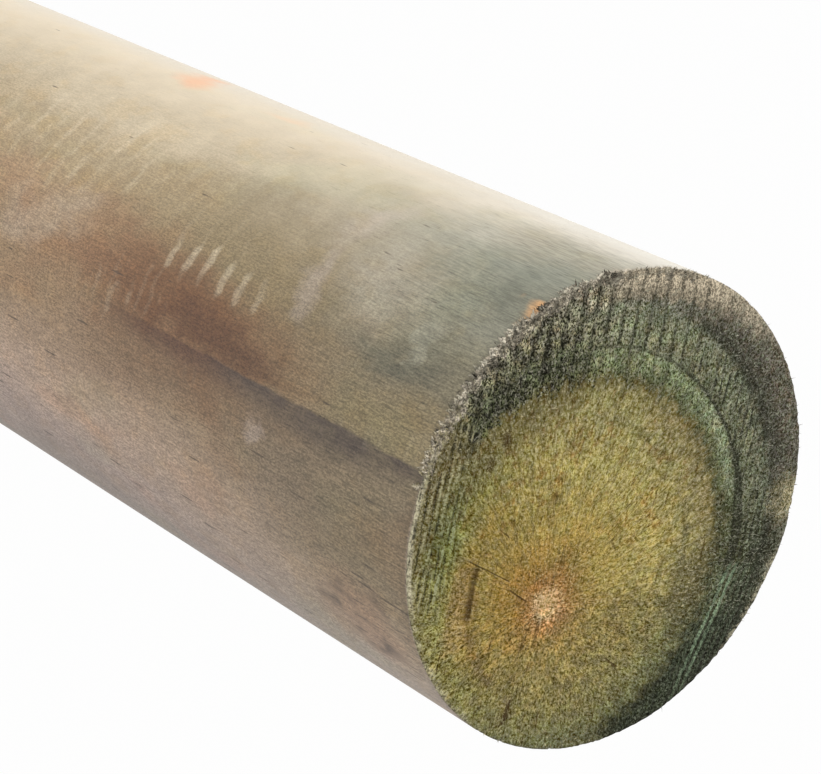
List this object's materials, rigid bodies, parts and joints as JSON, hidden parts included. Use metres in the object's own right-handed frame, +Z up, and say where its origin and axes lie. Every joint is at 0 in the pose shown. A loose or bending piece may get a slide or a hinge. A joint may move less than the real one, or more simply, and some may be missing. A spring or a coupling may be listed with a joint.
{
  "type": "round wooden post",
  "caption": "Upright machine-rounded softwood post, pressure treated, with both ends sawn square.",
  "frame": {"origin": "centre of the post's foot face, at ground level", "axes": "+Z up the post along the grain, from the foot to the top"},
  "size_m": [0.1, 0.0998, 1.8],
  "materials": {
    "timber": "treated softwood, planed round on the side and rough sawn on the ends"
  },
  "bodies": {
    "root": {"post": "timber"}
  },
  "joints": []
}
